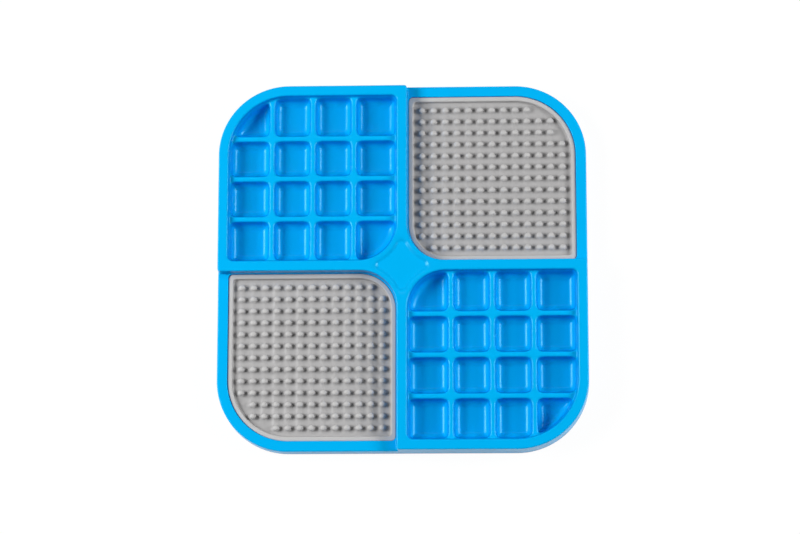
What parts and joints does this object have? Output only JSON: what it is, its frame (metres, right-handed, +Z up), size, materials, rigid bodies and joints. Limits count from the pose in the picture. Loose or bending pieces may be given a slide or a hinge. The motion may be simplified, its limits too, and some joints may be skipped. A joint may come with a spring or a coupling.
{
  "type": "lick mat",
  "caption": "Square pet feeding tray with two raised quadrants of deep pockets and two low quadrants that hold lift-out rubber licking mats with round nubs.",
  "frame": {"origin": "on the table, under the centre of the tray", "axes": "+Z up, -Y towards the user, +X to the user's right"},
  "size_m": [0.2014, 0.2014, 0.017],
  "materials": {
    "tray_plastic": "glossy moulded plastic, bright sky blue",
    "mat_rubber": "satin light grey rubber",
    "foot_rubber": "matt grey rubber"
  },
  "bodies": {
    "tray": {"tray": "tray_plastic", "foot_front_left": "foot_rubber", "foot_front_right": "foot_rubber", "foot_rear_left": "foot_rubber", "foot_rear_right": "foot_rubber"},
    "rear_right_mat": {"lick_mat_rear_right": "mat_rubber"},
    "front_left_mat": {"lick_mat_front_left": "mat_rubber"}
  },
  "joints": [
    {"name": "rear_right_mat_lift", "type": "slide", "parent": "tray", "child": "rear_right_mat", "axis": [0, 0, 1], "range_m": [0, 0.03]},
    {"name": "front_left_mat_lift", "type": "slide", "parent": "tray", "child": "front_left_mat", "axis": [0, 0, 1], "range_m": [0, 0.03]}
  ]
}
